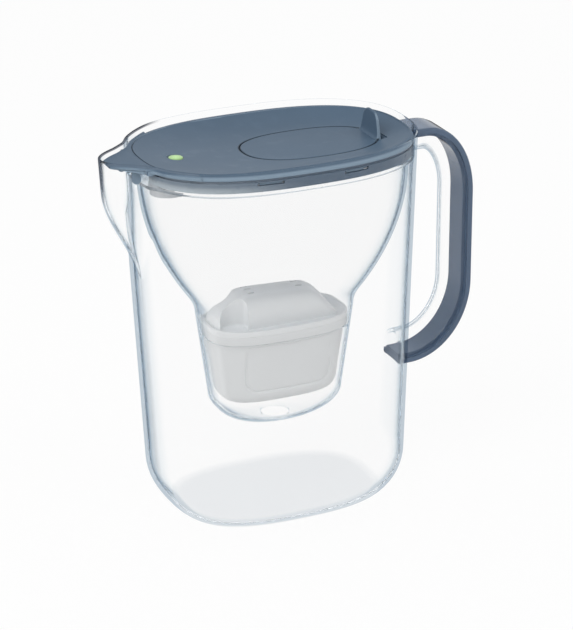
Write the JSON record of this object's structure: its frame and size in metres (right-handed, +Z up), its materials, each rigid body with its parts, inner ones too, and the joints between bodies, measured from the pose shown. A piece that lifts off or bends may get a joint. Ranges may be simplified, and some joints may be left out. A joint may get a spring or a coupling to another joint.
{
  "type": "water filter pitcher",
  "caption": "Clear oval water filter pitcher with a lift-out funnel and filter cartridge, a flip-up refill flap, a swinging spout cover and a handle with a coloured strip.",
  "frame": {"origin": "on the floor under the middle of the rim's oval, on the flat base", "axes": "+X to the handle, -X to the spout, +Z up, +Y to the far side; the pitcher is alike on both sides of Y = 0"},
  "size_m": [0.2677, 0.134, 0.2751],
  "materials": {
    "clear_jug": "clear, polished",
    "clear_handle": "clear, polished",
    "handle_colour": "translucent slate, polished",
    "clear_funnel": "clear, polished",
    "lid_colour": "slate, satin",
    "ring_colour": "slate, glossy",
    "flap_colour": "slate, satin",
    "cover_colour": "slate, satin",
    "capsule_grey": "light grey, satin",
    "hatch_grey": "light grey, satin",
    "seal_rubber": "dark, matte",
    "lens_green": "light green, satin",
    "board_green": "solder mask",
    "switch_black": "matte black",
    "diode_clear": "clear resin",
    "chip_black": "matte black",
    "cell_steel": "brushed",
    "contact_brass": "plated",
    "cartridge_grey": "light grey, satin",
    "cap_grey": "light grey, satin",
    "mesh_white": "white, matte",
    "outlet_mesh_white": "white, matte",
    "granules_dark": "loose grains"
  },
  "bodies": {
    "jug": {"jug": "clear_jug", "handle_channel": "clear_handle", "handle_strip": "handle_colour"},
    "funnel": {"funnel": "clear_funnel"},
    "lid": {"lid_top": "lid_colour", "lid_ring": "ring_colour", "light_capsule": "capsule_grey", "capsule_hatch": "hatch_grey", "button_seal": "seal_rubber", "circuit_board": "board_green", "reset_switch": "switch_black", "light_diode": "diode_clear", "timer_chip": "chip_black", "coin_cell": "cell_steel", "cell_contacts": "contact_brass"},
    "refill_flap": {"refill_flap": "flap_colour"},
    "spout_cover": {"spout_cover": "cover_colour"},
    "light_button": {"light_button": "lens_green"},
    "cartridge": {"cartridge_housing": "cartridge_grey", "cartridge_cap": "cap_grey", "inlet_mesh": "mesh_white", "outlet_mesh": "outlet_mesh_white", "filter_granules": "granules_dark"}
  },
  "joints": [
    {"name": "funnel_lift", "type": "slide", "parent": "jug", "child": "funnel", "axis": [0, 0, 1], "range_m": [0, 0.205]},
    {"name": "lid_lift", "type": "slide", "parent": "funnel", "child": "lid", "axis": [0, 0, 1], "range_m": [0, 0.06]},
    {"name": "cartridge_lift", "type": "slide", "parent": "funnel", "child": "cartridge", "axis": [0, 0, 1], "range_m": [0, 0.072]},
    {"name": "flap_hinge", "type": "hinge", "parent": "lid", "child": "refill_flap", "pos_m": [0.0746, 0, 0.255], "axis": [0, 1, 0], "range_deg": [0, 45]},
    {"name": "cover_hinge", "type": "hinge", "parent": "lid", "child": "spout_cover", "pos_m": [-0.0943, 0, 0.2625], "axis": [0, 1, 0], "range_deg": [0, 60]},
    {"name": "button_press", "type": "slide", "parent": "lid", "child": "light_button", "axis": [0, 0, -1], "range_m": [0, 0.0005], "stiffness_N_per_m": 600}
  ]
}
